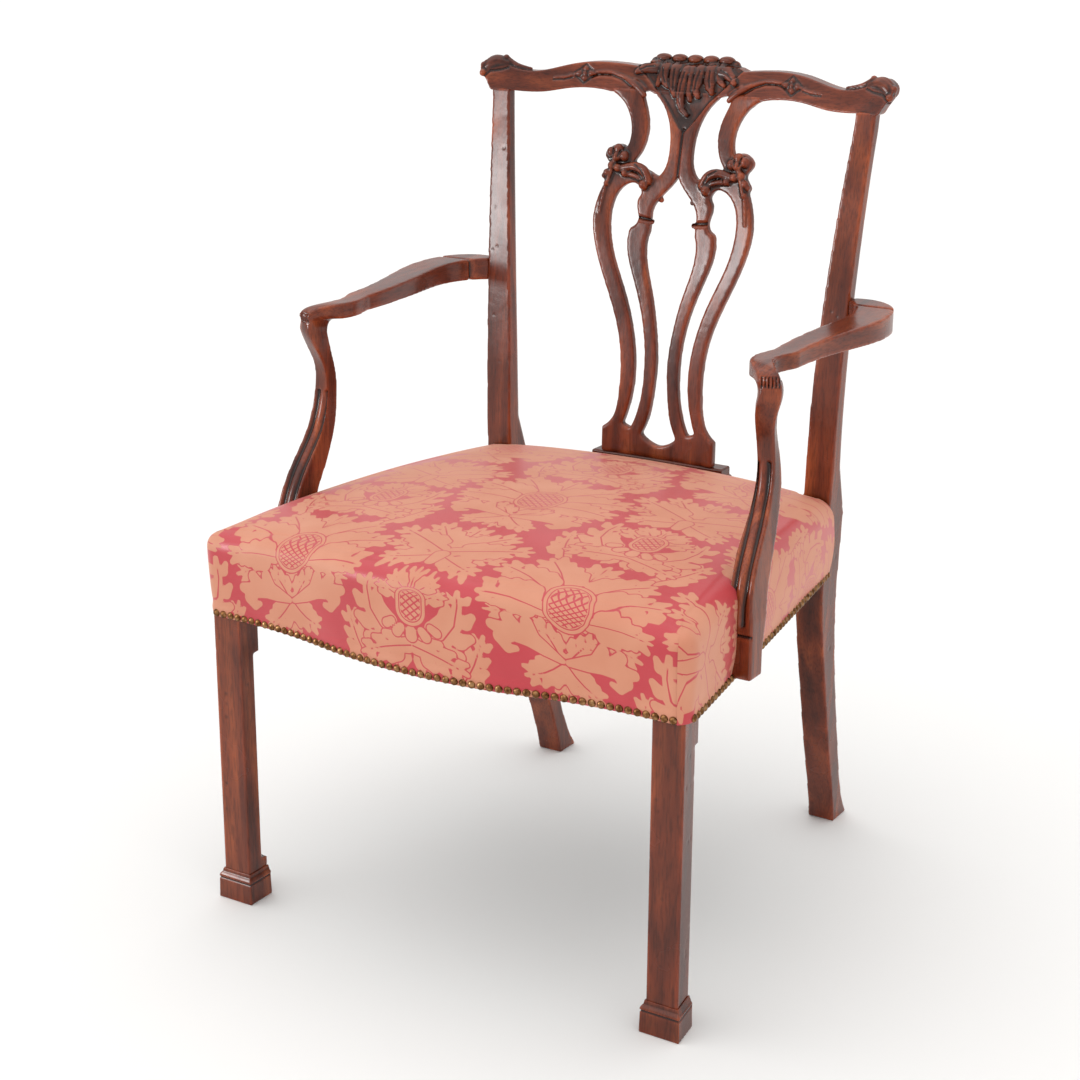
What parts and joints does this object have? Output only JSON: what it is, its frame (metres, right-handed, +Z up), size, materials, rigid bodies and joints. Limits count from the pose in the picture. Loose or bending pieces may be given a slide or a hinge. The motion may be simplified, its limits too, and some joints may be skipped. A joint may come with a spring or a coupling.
{
  "type": "library armchair",
  "caption": "Open armchair with a pierced ribbon splat, serpentine crest, shaped arms on curved supports, square front legs and a close-nailed damask seat.",
  "frame": {"origin": "on the floor, at the middle of the footprint", "axes": "+Z up, the chair faces -Y, +X to the right of someone looking at its front"},
  "size_m": [0.6416, 0.6655, 0.967],
  "materials": {
    "mahogany": "French polished, satin",
    "beech": "planed, unpolished",
    "damask": "woven damask with a salmon figure on crimson",
    "stuffing": "hair stuffing under a calico",
    "jute": "coarse woven jute",
    "bottom_cloth": "plain black cotton",
    "antique_brass": "dulled, domed",
    "screw_steel": "plain"
  },
  "bodies": {
    "root": {"arm_left": "mahogany", "arm_right": "mahogany", "arm_support_left": "mahogany", "arm_support_right": "mahogany", "bottom_cloth": "bottom_cloth", "brace_screws": "screw_steel", "crest_rail": "mahogany", "foot_facings_left": "mahogany", "foot_facings_right": "mahogany", "front_corner_brace_left": "beech", "front_corner_brace_right": "beech", "front_leg_left": "mahogany", "front_leg_right": "mahogany", "front_rail": "beech", "hessian": "jute", "leg_bracket_right": "mahogany", "nails_front": "antique_brass", "nails_left": "antique_brass", "nails_right": "antique_brass", "rear_corner_brace_left": "beech", "rear_corner_brace_right": "beech", "rear_post_left": "mahogany", "rear_post_right": "mahogany", "rear_rail": "mahogany", "seat_cover": "damask", "shoe": "mahogany", "side_rail_left": "beech", "side_rail_right": "beech", "splat": "mahogany", "stuffing": "stuffing", "support_screws": "screw_steel", "webbing_cross": "jute", "webbing_fore_aft": "jute"}
  },
  "joints": []
}
